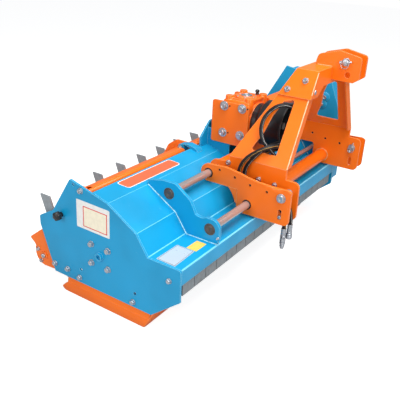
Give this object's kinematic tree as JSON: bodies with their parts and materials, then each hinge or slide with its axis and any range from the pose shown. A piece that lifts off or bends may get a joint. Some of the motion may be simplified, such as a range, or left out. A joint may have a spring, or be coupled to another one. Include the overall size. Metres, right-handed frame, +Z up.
{
  "type": "tractor mulcher",
  "caption": "Tractor-mounted flail mulcher with a side-shifting three-point headstock, hammer rotor, front flaps, rear rake tines, roller and belt drive.",
  "frame": {"origin": "on the floor, under the middle of the machine's bounding box", "axes": "+X across the machine towards the belt guard (the machine's left), +Y rearwards, +Z up; the tractor stands on the -Y side"},
  "size_m": [1.611, 1.0539, 1.015],
  "materials": {
    "blue_paint": "gloss",
    "orange_paint": "gloss",
    "zinc_steel": "satin",
    "chrome": "polished",
    "black_plastic": "satin",
    "dark_steel": "matt",
    "black_paint": "satin",
    "black_rubber": "matt"
  },
  "bodies": {
    "mulcher": {"bearing_left": "dark_steel", "bearing_right": "dark_steel", "belt_cover": "blue_paint", "belt_guard_plate": "blue_paint", "cylinder_rod": "chrome", "flap_rod": "zinc_steel", "front_flaps": "zinc_steel", "gearbox_cradle": "blue_paint", "gearbox_housing": "orange_paint", "gearbox_plate_left": "orange_paint", "gearbox_plate_right": "orange_paint", "guide_rod_front": "chrome", "guide_rod_rear": "chrome", "hinge_bracket": "blue_paint", "hinge_pins": "zinc_steel", "hood_sheet": "blue_paint", "latch_knob": "black_plastic", "pto_guard": "black_plastic", "rake_bar": "orange_paint", "rake_tines": "zinc_steel", "rear_guard": "orange_paint", "rod_bracket_left": "blue_paint", "rod_bracket_right": "blue_paint", "roller_arm_left": "orange_paint", "roller_arm_right": "orange_paint", "shaft_cover_tube": "orange_paint", "side_plate_left": "blue_paint", "side_plate_right": "blue_paint", "skid_left": "orange_paint", "skid_right": "orange_paint"},
    "headstock": {"coupling_far": "zinc_steel", "coupling_near": "zinc_steel", "cylinder_barrel": "black_paint", "cylinder_lug": "orange_paint", "hitch_plate_left_inner": "orange_paint", "hitch_plate_left_outer": "orange_paint", "hitch_plate_right_inner": "orange_paint", "hitch_plate_right_outer": "orange_paint", "hose_far": "black_rubber", "hose_near": "black_rubber", "lower_pin_left": "zinc_steel", "lower_pin_right": "zinc_steel", "mast_cap": "orange_paint", "mast_leg_left": "orange_paint", "mast_leg_right": "orange_paint", "sleeve_front": "orange_paint", "sleeve_rear": "orange_paint", "top_link_bracket": "orange_paint", "top_link_pin": "zinc_steel"},
    "rear_hood": {"rear_hood": "orange_paint"},
    "rotor": {"rotor": "dark_steel", "rotor_hammers": "dark_steel"},
    "roller": {"roller": "orange_paint"},
    "pto_input": {"pto_shaft": "dark_steel"}
  },
  "joints": [
    {"name": "side_shift", "type": "slide", "parent": "mulcher", "child": "headstock", "axis": [1, 0, 0], "range_m": [-0.195, 0]},
    {"name": "rear_hood_hinge", "type": "hinge", "parent": "mulcher", "child": "rear_hood", "pos_m": [-0.0435, 0.1895, 0.513], "axis": [1, 0, 0], "range_deg": [0, 90]},
    {"name": "rotor_spin", "type": "hinge", "parent": "mulcher", "child": "rotor", "pos_m": [-0.0435, 0.1005, 0.249], "axis": [1, 0, 0], "continuous": true},
    {"name": "roller_spin", "type": "hinge", "parent": "mulcher", "child": "roller", "pos_m": [-0.0435, 0.4435, 0.128], "axis": [1, 0, 0], "continuous": true},
    {"name": "input_spin", "type": "hinge", "parent": "mulcher", "child": "pto_input", "pos_m": [0.1055, -0.1975, 0.655], "axis": [0, 1, 0], "continuous": true}
  ],
  "couplings": [
    {"joint": "input_spin", "follows": "rotor_spin", "ratio": 0.2571}
  ]
}
